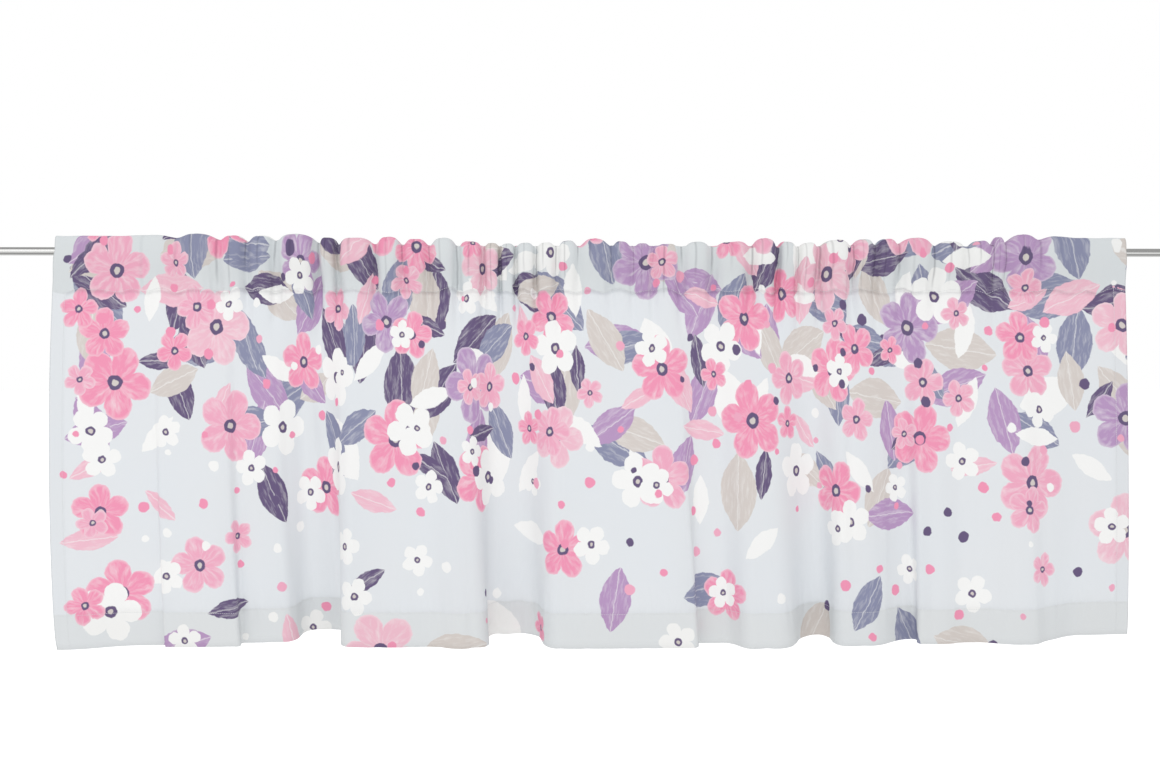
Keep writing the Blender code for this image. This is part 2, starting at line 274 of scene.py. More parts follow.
LEAF_STROKES = (0.48, 0.85, 0.0, 0.45)
LEAF_RIB = (0.0004, 0.0012, 0.50, 0.0)
PETALS = 5
PETAL_ROUNDNESS = 0.6
PETAL_SHARE = 0.46
PETAL_STROKES = (0.45, 0.85, 0.0, 0.60)
PETAL_STROKES_AROUND = 0.02
PETAL_RIM = (0.0008, 0.005, 0.35, 0.0)
BLOSSOM_LEAST_SIZE = 0.72
BLOSSOM_EYE = 0.20
BLOSSOM_HEART = 0.09
BERRY_LEAST_SIZE = 0.5

# Sharp creases in the pocket, drawn as painted shade and a bump: width and wander as shares of one gather,
# ends and fade as shares of the pocket's height
THIN_CREASE_WIDTH = 0.045
THIN_CREASE_CORE = 0.2
THIN_CREASE_BENDS = 30.0
THIN_CREASE_WANDER = 0.10
THIN_CREASE_CHANGE = 3.7
THIN_CREASE_DRAWS = 7.0
THIN_CREASE_LOWEST_END = -0.25
THIN_CREASE_END_RANGE = 0.75
THIN_CREASE_FADE = 0.35
THIN_CREASE_WEAKEST = 0.4
THIN_CREASE_BUMP = (0.6, 0.0006)

# Cloth's surface: how much light and print come through it, how far the print takes the painted shade of the
# doubled cloth, the ground's tones, and spots of the weave to the metre along and across a thread. Bumps are
# given as strength and distance.
TRANSLUCENCY = 0.30
DOUBLED_TRANSLUCENCY = 0.05
PRINT_ON_BACK = 0.45
SHADE_ON_PRINT = 0.35
CLOTH_ROUGHNESS = 0.88
CLOTH_SPECULAR = 0.15
SEAM_WAVE_PITCH = 38.0
SEAM_EDGE = 0.0008
TONE_PITCH = 7.0
TONE_RANGE = (0.3, 0.7)
WARMEST_SHARE = 0.35
WEAVE_ALONG = 420.0
WEAVE_ACROSS = 1400.0
WEAVE_BUMP = (0.12, 0.0003)

# Thread and rod
THREAD_ROUGHNESS = 0.7
THREAD_SPECULAR = 0.2
GRAIN_LINES = (14.0, 2600.0, 2600.0)
GRAIN_ROUGHNESS = (0.3, 0.7, 0.12, 0.20)
GRAIN_BUMP = (0.02, 0.0001)

# Stage. Lights: name, place from the cloth's middle on the rod's axis, size and power. The polished rod
# mirrors bands of grey, each given as its share of the turn round the rod, from behind over below, the front
# and above, and its brightness.
FLOOR_HEIGHT = -1.1
FLOOR_SIZE = 40.0
FLOOR_ROUGHNESS = 0.9
FLOOR_GLOW = 0.30
LIGHTS = (
    ("key", (-1.2, -2.4, 0.7), (2.2, 1.8), 12.0),
    ("fill", (0.5, -3.2, -0.1), (3.0, 2.0), 9.0),
)
LIT_HEIGHT = -0.28
SKY_LIGHT = (0.95, 0.95, 0.95, 1.0)
MIRRORED = (
    (0.18, 0.80),
    (0.27, 0.42),
    (0.37, 0.38),
    (0.41, 0.95),
    (0.49, 0.95),
    (0.54, 0.42),
    (0.90, 0.42),
    (0.96, 0.80),
)


def half_wave_table():
    """Steepest angles of a half fold, with the shares of its cloth that go across and back."""
    angles = np.linspace(0.0, STEEPEST_FOLD, FOLD_ANGLES)
    places = (np.arange(FOLD_SAMPLES) + 0.5) / FOLD_SAMPLES
    slopes = angles[:, None] * np.sin(math.pi * places)[None, :]
    return angles, np.cos(slopes).mean(axis=1), np.sin(slopes).mean(axis=1)


def hem_cloth():
    """For each half fold at the hem, the cloth it uses and its steepest angle, signed towards the back."""
    angles, across_share, back_share = half_wave_table()
    halves = []
    for (x_0, y_0), (x_1, y_1) in zip(FOLDS, FOLDS[1:]):
        across = x_1 - x_0
        back = y_1 - y_0
        angle = float(np.interp(abs(back) / across, back_share / across_share, angles))
        kept = math.hypot(np.interp(angle, angles, across_share), np.interp(angle, angles, back_share))
        halves.append((math.hypot(across, back) / kept, math.copysign(angle, back)))
    return halves


def spread_out(values, spread):
    """The values blurred along the cloth, with the ends held."""
    reach = int(3 * spread / FINE_STEP)
    weights = np.exp(-0.5 * (np.arange(-reach, reach + 1) * FINE_STEP / spread) ** 2)
    padded = np.concatenate([
        2 * values[0] - values[reach:0:-1],
        values,
        2 * values[-1] - values[-2 : -reach - 2 : -1],
    ])
    return np.convolve(padded, weights / weights.sum(), mode="valid")


def summed(slopes):
    """Distance gone along the cloth from its first point, for slopes given at each fine step."""
    return np.concatenate([[0.0], np.cumsum(0.5 * (slopes[1:] + slopes[:-1]))]) * FINE_STEP


class Drape:
    """The cloth's shape: where a point this far along its width and down its drop lies."""

    def __init__(self):
        halves = hem_cloth()
        ends = np.concatenate([[0.0], np.cumsum([used for used, _ in halves])])
        self.width = ends[-1]
        steps = int(round(self.width / FINE_STEP))
        self.along = np.arange(steps + 1) * FINE_STEP
        half = np.clip(np.searchsorted(ends, self.along, side="right") - 1, 0, len(halves) - 1)
        share = np.clip((self.along - ends[half]) / (ends[half + 1] - ends[half]), 0.0, 1.0)
        steepest = np.array([angle for _, angle in halves])
        self.fold_slope = steepest[half] * np.sin(math.pi * share)
        hem_x = FOLDS[0][0] + summed(np.cos(self.fold_slope))
        hem_y = FOLDS[0][1] + summed(np.sin(self.fold_slope))
        self.hem_level_x = spread_out(hem_x, FOLD_SPREAD)
        self.hem_level_y = spread_out(hem_y, FOLD_SPREAD)
        level = self.hem_level_x - self.hem_level_x[0]
        self.top_x = HUNG_LEFT + (HUNG_RIGHT - HUNG_LEFT) * level / level[-1]
        self.set_gathers()
        self.front = {}

    def set_gathers(self):
        stretches = np.array([HUNG_LEFT] + [row[0] for row in GATHERS])
        creases = np.concatenate([[0.0], np.cumsum([row[1] for row in GATHERS])])
        middles = 0.5 * (stretches[1:] + stretches[:-1])
        self.phase = 2 * math.pi * np.interp(self.top_x, stretches, creases)
        strength = np.interp(self.top_x, middles, [row[2] for row in GATHERS])
        self.top_height = np.interp(self.top_x, middles, [row[3] for row in GATHERS])
        wave = -np.sin(self.phase + CREASE_SHARPNESS * np.sin(self.phase))
        one_crease = np.linspace(0.0, 2 * math.pi, GATHER_SAMPLES + 1)[:-1]
        shape = np.sin(one_crease + CREASE_SHARPNESS * np.sin(one_crease))
        steepness = np.linspace(0.0, STEEPEST_GATHER, GATHER_ANGLES)
        kept = np.cos(steepness[:, None] * shape[None, :]).mean(axis=1)
        needed = np.interp(-np.gradient(self.top_x, FINE_STEP), -kept, steepness)
        self.pucker_slope = needed * strength * wave
        self.ridge = 1 - np.cos(0.5 * self.phase) ** 4
        self.gathered = np.clip(strength, 0.0, 1.0) * np.clip(needed / FULLY_GATHERED, 0.0, 1.0)

    def plan(self, drop):
        """Across and back places of the whole width at this share of the front's length, 0 at the seam."""
        fade = max(0.0, 1.0 - drop * FRONT_LENGTH / PUCKER_FADE_LENGTH)
        fade = fade * fade * (3 - 2 * fade)
        slope = drop * self.fold_slope + fade * self.pucker_slope
        x = summed(np.cos(slope))
        y = summed(np.sin(slope))
        level_x = self.top_x + (self.hem_level_x - self.top_x) * drop
        level_y = self.hem_level_y * drop
        return x - spread_out(x, FOLD_SPREAD) + level_x, y - spread_out(y, FOLD_SPREAD) + level_y

    def side_bulge(self, height_share):
        """How far the sides stand out at this share of the whole height, 0 at the top and 1 at the hem."""
        bulge = max(math.sin(math.pi * height_share), 0.0) ** SIDE_BULGE_ROUNDNESS
        sides = (self.top_x - HUNG_LEFT) / (HUNG_RIGHT - HUNG_LEFT)
        right = SIDE_BULGE_RIGHT * sides**SIDE_BULGE_POWER
        return bulge * (right - SIDE_BULGE_LEFT * (1 - sides) ** SIDE_BULGE_POWER)

    def front_row(self, drop):
        """Points of the whole width at this share of the front's length, with the cloth's own drop kept."""
        if not self.front:
            x, y = self.plan(0.0)
            self.front[0.0] = (x + self.side_bulge(POCKET_SHARE), y, np.full_like(x, SEAM_HEIGHT))
        if drop not in self.front:
            before = max(done for done in self.front if done < drop)
            x_0, y_0, z_0 = self.front[before]
            x, y = self.plan(drop)
            x = x + self.side_bulge(POCKET_SHARE + (1 - POCKET_SHARE) * drop)
            length = (drop - before) * FRONT_LENGTH
            sideways = np.minimum((x - x_0) ** 2 + (y - y_0) ** 2, (MOST_SIDEWAYS * length) ** 2)
            self.front[drop] = (x, y, z_0 - np.sqrt(length**2 - sideways))
        return self.front[drop]

    def pocket_row(self, turn):
        """Points of the whole width round the pocket: turn 0 is the seam behind, 2 the top and 4 the seam in
        front."""
        x, y = self.plan(0.0)
        reach = int(GATHER_REACH / FINE_STEP)
        padded = np.pad(np.abs(y), reach, mode="edge")
        deepest = np.max([padded[start : start + len(y)] for start in range(2 * reach + 1)], axis=0)
        half_gap = 0.5 * (ROD_DIAMETER + SOLID_HEM_THICKNESS) + ROD_CLEARANCE
        half_gap = half_gap + spread_out(deepest, GATHER_REACH / 3)
        lobe = LOBE_HEIGHT * (self.ridge - 0.5) * 2 * self.gathered
        x = x + self.side_bulge(POCKET_SHARE * max(0.0, 1 - min(turn, 4 - turn)))
        side = -1.0 if turn > 2 else 1.0
        if 1 <= turn <= 3:
            angle = (turn - 2) * math.pi / 2
            lift = max(math.cos(angle), 0.0) ** TOP_ROUNDNESS
            out = math.copysign(abs(math.sin(angle)) ** TOP_ROUNDNESS, angle)
            z = np.maximum(self.top_height + lobe * lift, LEAST_TOP_HEIGHT) * lift
            return x, y - half_gap * out, z
        level = min(turn, 4 - turn)
        z = np.full_like(x, SEAM_HEIGHT * (1 - level))
        return x, y + side * half_gap * (0.5 - 0.5 * math.cos(math.pi * level)), z


def grid_of(rows, drape, places, turned):
    """Points at these places along the width, row by row, and the unit vectors out of the printed side.

    The places run back where the side hems are turned, and their vectors still point out of the front."""
    points = np.array([[np.interp(places, drape.along, axis) for axis in row] for row in rows])
    points = np.moveaxis(points, 1, 2)
    down = np.gradient(points, axis=0)
    across = np.gradient(points, axis=1)
    out = np.cross(down, across) * np.where(turned, -1.0, 1.0)[None, :, None]
    return points, out / np.linalg.norm(out, axis=2, keepdims=True)


def cloth_places(width):
    """Places along the flat cloth, turned side hems included, where each lies along the hung width, and which
    of them are turned."""
    turned = np.linspace(SIDE_HEM, FOLD_DEPTH, SIDE_HEM_COLUMNS)
    middle = np.linspace(0.0, width, COLUMNS)
    flat = np.concatenate([-turned, middle, width + turned[::-1]])
    hung = np.abs(flat)
    hung = np.where(hung > width, 2 * width - hung, hung)
    return flat, hung, (flat < 0) | (flat > width)


def ripple(places, pitch, start):
    """An uneven wave along the width: three close pitches, so that no two waves are alike."""
    waves = [np.sin(2 * math.pi * places / (pitch * share) + start + share) for share in RIPPLE_PITCHES]
    return sum(waves) / len(waves)


def gather_creases(drape, along, down):
    """Height of the narrow creases in the gathers, from the top of the pocket to a little below the seam."""
    height = np.zeros((len(down), len(along)))
    fade = np.clip(0.5 - 0.5 * down / CREASE_END, 0.0, 1.0) ** 0.5
    for first, share in CREASES_IN_GATHER:
        for number in range(int(drape.phase[-1] / (2 * math.pi)) + 1):
            place = np.interp(2 * math.pi * (number + first), drape.phase, drape.along)
            uneven = 1 - CREASE_UNEVENNESS + CREASE_UNEVENNESS * math.sin(CREASE_CHANGE * number)
            strength = share * np.interp(place, drape.along, drape.gathered) * uneven
            shape = np.exp(-((along - place) / CREASE_HALF_WIDTH) ** 2)
            height -= CREASE_DEPTH * strength * fade[:, None] * shape[None, :]
    return height


def fine_relief(along, down):
    """Height above the smooth sheet, where the stitches draw the cloth up and where the soft creases run."""
    height = np.zeros((len(down), len(along)))
    seams = (
        (0.0, SEAM_PITCH, SEAM_PUCKER, SEAM_REACH),
        (FRONT_LENGTH - BOTTOM_HEM, HEM_PITCH, HEM_PUCKER, HEM_REACH),
    )
    for seam, pitch, depth, reach in seams:
        near = np.exp(-np.abs(down - seam) / reach)
        height += near[:, None] * depth * ripple(along, pitch, seam)[None, :]
        height -= STITCH_DIP * np.exp(-((down - seam) / STITCH_DIP_REACH) ** 2)[:, None]
    for place, top, bottom, slant, depth, reach in CREASES:
        middle = 0.5 * (top + bottom)
        fade = np.clip(1 - ((down - middle) / (0.5 * (bottom - top))) ** 2, 0.0, 1.0)
        line = place + slant * (down - middle)
        height += depth * fade[:, None] * np.exp(-((along[None, :] - line[:, None]) / reach) ** 2)
    return height


def spaced(stretches):
    """Even places over each stretch of first, last and count."""
    return np.concatenate([np.linspace(*stretch) for stretch in stretches])


def add_sway(layer, depths, along):
    """Moves the rows near the seams a little up and down along the width, so that no seam is straight."""
    from_seam = np.minimum(np.abs(depths), np.abs(depths + 2 * POCKET_FLAT_HEIGHT))
    near = np.exp(-from_seam / SEAM_SWAY_REACH)[:, None]
    layer[:, :, 2] += SEAM_SWAY * (near * ripple(along, SEAM_SWAY_PITCH, SEAM_SWAY_START)[None, :])


def build_sheet(drape):
    """The whole cloth as one folded sheet, and the front's layer for the stitches to lie on.

    The UV map flat_cloth is the flat cloth in metres, v counted up from the hem's fold. The map gathers
    counts the gathers from the left, and the map strength says how strongly each is drawn up."""
    flat, hung, side = cloth_places(drape.width)
    turns = spaced(POCKET_TURNS)
    pocket, pocket_out = grid_of([drape.pocket_row(float(turn)) for turn in turns], drape, hung, side)
    pocket_down = np.interp(turns, range(len(POCKET_LEVELS)), np.array(POCKET_LEVELS) * POCKET_FLAT_HEIGHT)
    drops = spaced(FRONT_DROPS)
    front, front_out = grid_of([drape.front_row(float(drop)) for drop in drops], drape, hung, side)
    front_down = drops * FRONT_LENGTH
    front_relief = fine_relief(hung, front_down) + gather_creases(drape, hung, front_down)
    front = front + front_out * front_relief[:, :, None]
    from_seam = np.maximum(pocket_down, -2 * POCKET_FLAT_HEIGHT - pocket_down)
    pocket_relief = fine_relief(hung, from_seam) + gather_creases(drape, hung, from_seam)
    pocket_relief[turns < 2] *= -1.0
    pocket = pocket + pocket_out * pocket_relief[:, :, None]

    behind = np.where(side, SIDE_HEM_BEHIND, -SHEET_IN_FRONT)
    turned_behind = np.where(side, TURNED_SIDE_BEHIND, BOTTOM_HEM_BEHIND)
    edge = front[1] - front_out[1] * BOTTOM_HEM_BEHIND
    pocket_layer = pocket - pocket_out * behind[None, :, None]
    front_layer = front - front_out * behind[None, :, None]
    fold = front[-1] - front_out[-1] * (0.5 * (behind + turned_behind))[:, None]
    fold[:, 2] -= FOLD_DEPTH
    turned_rows = np.nonzero(drops >= HEM_START)[0][::-1]
    turned = front[turned_rows] - front_out[turned_rows] * turned_behind[None, :, None]
    points = np.concatenate([edge[None], pocket_layer, front_layer, fold[None], turned])
    down = np.concatenate([
        [pocket_down[0] - front_down[1]],
        pocket_down,
        front_down,
        [FRONT_LENGTH + FOLD_DEPTH],
        2 * FRONT_LENGTH + 2 * FOLD_DEPTH - front_down[turned_rows],
    ])
    for layer, depths in ((points, down), (front_layer, front_down)):
        add_sway(layer, depths, hung)
        layer[:, :, 0] += CLOTH_MIDDLE
    maps = {
        "flat_cloth": (flat, FRONT_LENGTH - down),
        "gathers": (np.interp(hung, drape.along, drape.phase) / (2 * math.pi), np.zeros_like(down)),
        "strength": (np.interp(hung, drape.along, drape.gathered), np.zeros_like(down)),
    }
    return mesh_of_grid("valance_sheet", points, maps), front_layer, front_out, front_down


def add_object(name, data):
    made = bpy.data.objects.new(name, data)
    bpy.context.scene.collection.objects.link(made)
    return made


def mesh_of_grid(name, points, maps):
    """A mesh of the grid's points. Each UV map gives one value for every column and one for every row."""
    rows, columns = points.shape[:2]
    index = np.arange(rows * columns).reshape(rows, columns)
    faces = np.stack([index[:-1, :-1], index[1:, :-1], index[1:, 1:], index[:-1, 1:]], axis=-1).reshape(-1, 4)
    data = bpy.data.meshes.new(name)
    data.from_pydata(points.reshape(-1, 3), [], faces.tolist())
    corners = faces.reshape(-1)
    for map_name, (u, v) in maps.items():
        layer = data.uv_layers.new(name=map_name)
        spots = np.stack([np.tile(u, rows)[corners], np.repeat(v, columns)[corners]], axis=1)
        layer.data.foreach_set("uv", spots.astype(np.float32).reshape(-1))
    data.shade_smooth()
    return add_object(name, data)


def stitches(name, starts, ends, outs):
    """One short thread for each stitch: a slim spindle that lies on the cloth from its start to its end."""
    along = ends - starts
    length = np.linalg.norm(along, axis=1, keepdims=True)
    along = along / length
    side = np.cross(along, outs)
    side = side / np.linalg.norm(side, axis=1, keepdims=True)
    out = np.cross(side, along)
    angles = np.arange(THREAD_SIDES) * 2 * math.pi / THREAD_SIDES
    spots = []
    for share, size in STITCH_RINGS:
        middle = starts + along * length * share + outs * THREAD_LIFT
        radius = 0.5 * THREAD_DIAMETER * size
        for angle in angles:
            spots.append(middle + radius * (math.cos(angle) * side + math.sin(angle) * out))
    points = np.stack(spots, axis=1)
    count = len(STITCH_RINGS) * THREAD_SIDES
    around = np.arange(THREAD_SIDES)
    nearby = (around + 1) % THREAD_SIDES
    sides = []
    for ring in range(len(STITCH_RINGS) - 1):
        low = ring * THREAD_SIDES
        high = low + THREAD_SIDES
        sides.append(np.stack([low + around, low + nearby, high + nearby, high + around], axis=1))
    quads = np.concatenate(sides)
    caps = [np.arange(THREAD_SIDES)[::-1], count - THREAD_SIDES + np.arange(THREAD_SIDES)]
    faces = []
    for stitch in range(len(starts)):
        faces.extend((quads + stitch * count).tolist())
        faces.extend((cap + stitch * count).tolist() for cap in caps)
    data = bpy.data.meshes.new(name)
    data.from_pydata(points.reshape(-1, 3), [], faces)
    data.shade_smooth()
    return add_object(name, data)


def stitch_line(path, outs):
    """Starts and ends of even stitches along a line of points."""
    steps = np.linalg.norm(np.diff(path, axis=0), axis=1)
    gone = np.concatenate([[0.0], np.cumsum(steps)])
    firsts = np.arange(0.0, gone[-1] - STITCH_PITCH, STITCH_PITCH)

    def at(places, values):
        return np.stack([np.interp(places, gone, values[:, axis]) for axis in range(3)], axis=1)

    return at(firsts, path), at(firsts + STITCH_LENGTH, path), at(firsts, outs)


class Shade:
    """Adds nodes to a material or a world. A value may be a number, a colour or another node's output."""

    def __init__(self, owner):
        owner.use_nodes = True
        self.tree = owner.node_tree
        self.shader = self.tree.nodes.get("Principled BSDF")

    def node(self, kind, inputs=None, **settings):
        made = self.tree.nodes.new(kind)
        for key, value in settings.items():
            setattr(made, key, value)
        for key, value in (inputs or {}).items():
            self.put(made.inputs[key], value)
        return made

    def put(self, socket, value):
        if isinstance(value, bpy.types.NodeSocket):
            self.tree.links.new(value, socket)
        else:
            socket.default_value = value

    def maths(self, operation, *values, clamp=False):
        made = self.node("ShaderNodeMath", operation=operation, use_clamp=clamp)
        for socket, value in zip(made.inputs, values):
            self.put(socket, value)
        return made.outputs[0]

    def vector(self, x=0.0, y=0.0, z=0.0):
        return self.node("ShaderNodeCombineXYZ", {0: x, 1: y, 2: z}).outputs[0]

    def split(self, vector):
        return self.node("ShaderNodeSeparateXYZ", {0: vector}).outputs

    def mix(self, share, first, second, way="MIX"):
        """The first colour, turned into the second as far as share says."""
        inputs = {0: share, 6: first, 7: second}
        return self.node("ShaderNodeMix", inputs, data_type="RGBA", blend_type=way).outputs[2]

    def times(self, share, first, second):
        """The first colour, multiplied by the second as far as share says."""
        return self.mix(share, first, second, "MULTIPLY")

    def ramp(self, value, low, high, first=0.0, second=1.0):
        """first below low, second above high and a straight line between."""
        made = self.node("ShaderNodeMapRange", {0: value, 1: low, 2: high, 3: first, 4: second})
        return made.outputs[0]

    def colours(self, value, stops, between):
        """Each stop is a place and a colour, and between says how one turns into the next."""
        made = self.node("ShaderNodeValToRGB", {0: value})
        made.color_ramp.interpolation = between
        elements = made.color_ramp.elements
        while len(elements) < len(stops):
            elements.new(1.0)
        for element, (place, colour) in zip(elements, stops):
            element.position = place
            element.color = colour
        return made.outputs[0]

    def pick(self, value, colours):
        """One of the colours, each for an equal part of the range 0 to 1."""
        stops = [(number / len(colours), colour) for number, colour in enumerate(colours)]
        return self.colours(value, stops, "CONSTANT")

    def blend(self, value, stops):
        """A grey that runs evenly from stop to stop, each a place and a brightness."""
        greys = [(place, (brightness, brightness, brightness, 1.0)) for place, brightness in stops]
        return self.colours(value, greys, "LINEAR")

    def noise(self, vector, scale, detail=2.0, roughness=0.5):
        inputs = {"Vector": vector, "Scale": scale, "Detail": detail, "Roughness": roughness}
        return self.node("ShaderNodeTexNoise", inputs).outputs[0]

    def chances(self, x, y, number):
        """Three random numbers for each whole x and y."""
        place = self.vector(x, y, number)
        made = self.node("ShaderNodeTexWhiteNoise", {"Vector": place}, noise_dimensions="3D")
        return self.split(made.outputs["Color"])

    def bump(self, strength, distance, height, normal=None):
        made = self.node("ShaderNodeBump", {"Strength": strength, "Distance": distance, "Height": height})
        if normal is not None:
            self.put(made.inputs["Normal"], normal)
        return made.outputs[0]


def motif_place(shade, u, v, cell, number, wander):
    """Where a point lies on the motif of its cell in a half-drop repeat: its own x and y, three random
    numbers, and the cell's height."""
    across = shade.maths("DIVIDE", u, cell[0])
    column = shade.maths("FLOOR", across)
    up = shade.maths("ADD", shade.maths("DIVIDE", v, cell[1]), shade.maths("MULTIPLY", column, 0.5))
    row = shade.maths("FLOOR", up)
    first = shade.chances(column, row, number)
    second = shade.chances(row, column, number + OTHER_DRAWS)
    x = shade.maths("SUBTRACT", shade.maths("SUBTRACT", across, column), 0.5)
    x = shade.maths("MULTIPLY", x, cell[0])
    y = shade.maths("MULTIPLY", shade.maths("SUBTRACT", shade.maths("SUBTRACT", up, row), 0.5), cell[1])
    x = shade.maths("ADD", x, shade.maths("MULTIPLY", shade.maths("SUBTRACT", first[0], 0.5), wander))
    y = shade.maths("ADD", y, shade.maths("MULTIPLY", shade.maths("SUBTRACT", first[1], 0.5), wander))
    angle = shade.maths("MULTIPLY", first[2], 2 * math.pi)
    inputs = {"Vector": shade.vector(x, y, 0.0), "Angle": angle}
    turned = shade.node("ShaderNodeVectorRotate", inputs, rotation_type="Z_AXIS")
    x, y, _ = shade.split(turned.outputs[0])
    level = shade.maths("SUBTRACT", row, shade.maths("MULTIPLY", column, 0.5))
    height = shade.maths("MULTIPLY", level, cell[1])
    return x, y, second, height


class Print:
    """A pattern printed motif over motif: its colour so far, and how much of the ground it hides."""

    def __init__(self, shade, u, v, ground):
        self.shade = shade
        self.u = u
        self.v = v
        self.colour = ground
        self.hidden = 0.0

    def motif(self, cell, number, wander, kept):
        """Place on the motif, its random numbers, and 1 where it is printed. kept is two heights, then their
        shares."""
        x, y, chance, height = motif_place(self.shade, self.u, self.v, cell, number, wander)
        low, high, low_share, high_share = kept
        share = self.shade.ramp(height, low, high, low_share, high_share)
        return x, y, chance, self.shade.maths("LESS_THAN", chance[2], share)

    def strokes(self, x, y, chance):
        """Brush strokes along x, from 0 to 1."""
        shade = self.shade
        place = shade.vector(
            shade.maths("MULTIPLY", x, STROKE_PITCH),
            shade.maths("MULTIPLY", y, STROKE_STRETCH * STROKE_PITCH),
            shade.maths("MULTIPLY", chance[0], STROKE_SHIFT),
        )
        return shade.noise(place, 1.0, roughness=STROKE_ROUGHNESS)

    def distance(self, x, y):
        """How far a point lies from its motif's middle."""
        squares = [self.shade.maths("MULTIPLY", place, place) for place in (x, y)]
        return self.shade.maths("SQRT", self.shade.maths("ADD", *squares))

    def edge(self, inside):
        """1 where inside is above zero and 0 where it is below, with a slightly soft edge."""
        return self.shade.ramp(inside, -PRINT_EDGE, PRINT_EDGE)

    def lay(self, inside, here, colour):
        cover = self.shade.maths("MULTIPLY", self.edge(inside), here)
        self.colour = self.shade.mix(cover, self.colour, colour)
        self.hidden = self.shade.maths("MAXIMUM", self.hidden, cover)

    def leaves(self, cell, number, wander, kept, half_sizes, colours):
        """Leaves, pointed at both ends, with a pale midrib and brushed from end to end."""
        shade = self.shade
        length, width = half_sizes
        x, y, chance, here = self.motif(cell, number, wander, kept)
        size = shade.maths("MULTIPLY_ADD", chance[0], LEAF_MORE_SIZE, LEAF_LEAST_SIZE)
        share = shade.maths("DIVIDE", x, shade.maths("MULTIPLY", size, length))
        half = shade.maths("SUBTRACT", 1.0, shade.maths("MULTIPLY", share, share))
        half = shade.maths("MULTIPLY", half, shade.maths("MULTIPLY", size, width))
        inside = shade.maths("SUBTRACT", half, shade.maths("ABSOLUTE", y))
        brushed = shade.ramp(self.strokes(x, y, chance), *LEAF_STROKES)
        rib = shade.ramp(shade.maths("ABSOLUTE", y), *LEAF_RIB)
        colour = shade.mix(shade.maths("MAXIMUM", rib, brushed), shade.pick(chance[1], colours), WHITE)
        self.lay(inside, here, colour)

    def blossoms(self, cell, number, wander, kept, radius, colours):
        """Five-petalled flowers with a dark eye, brushed outwards."""
        shade = self.shade
        x, y, chance, here = self.motif(cell, number, wander, kept)
        angle = shade.maths("ARCTAN2", y, x)
        reach = self.distance(x, y)
        petal = shade.maths("ABSOLUTE", shade.maths("COSINE", shade.maths("MULTIPLY", angle, 0.5 * PETALS)))
        petal = shade.maths("POWER", petal, PETAL_ROUNDNESS)
        petal = shade.maths("MULTIPLY_ADD", petal, PETAL_SHARE, 1.0 - PETAL_SHARE)
        size = shade.maths("MULTIPLY_ADD", chance[0], 1.0 - BLOSSOM_LEAST_SIZE, BLOSSOM_LEAST_SIZE)
        size = shade.maths("MULTIPLY", size, radius)
        inside = shade.maths("SUBTRACT", shade.maths("MULTIPLY", petal, size), reach)
        around = shade.maths("MULTIPLY", angle, PETAL_STROKES_AROUND)
        brushed = shade.ramp(self.strokes(reach, around, chance), *PETAL_STROKES)
        rim = shade.ramp(inside, *PETAL_RIM)
        colour = shade.mix(shade.maths("MAXIMUM", rim, brushed), shade.pick(chance[1], colours), WHITE)
        for share, tone in ((BLOSSOM_EYE, PURPLE), (BLOSSOM_HEART, GREIGE)):
            spot = shade.maths("SUBTRACT", shade.maths("MULTIPLY", size, share), reach)
            colour = shade.mix(self.edge(spot), colour, tone)
        self.lay(inside, here, colour)

    def berries(self, cell, number, wander, kept, radius, colours):
        """Dots strewn between the leaves."""
        shade = self.shade
        x, y, chance, here = self.motif(cell, number, wander, kept)
        size = shade.maths("MULTIPLY_ADD", chance[0], 1.0 - BERRY_LEAST_SIZE, BERRY_LEAST_SIZE)
        size = shade.maths("MULTIPLY", size, radius)
        inside = shade.maths("SUBTRACT", size, self.distance(x, y))
        self.lay(inside, here, shade.pick(chance[1], colours))


def print_colour(shade, u, v, ground):
    """The printed pattern's colour and where it hides the ground: it is strewn thinner towards the hem."""
    place = shade.vector(u, v, 0.0)
    moved = shade.node("ShaderNodeVectorMath", {0: place, 1: EDGE_SHIFT}, operation="ADD").outputs[0]
    ragged = []
    for along, spot in ((u, place), (v, moved)):
        wander = shade.maths("SUBTRACT", shade.noise(spot, EDGE_PITCH, detail=3.0), 0.5)
        ragged.append(shade.maths("ADD", along, shade.maths("MULTIPLY", wander, EDGE_WANDER)))
    made = Print(shade, *ragged, ground)
    for add_motifs, layers in ((made.leaves, LEAVES), (made.blossoms, BLOSSOMS), (made.berries, BERRIES)):
        for layer in layers:
            add_motifs(*layer)
    return made.colour, made.hidden


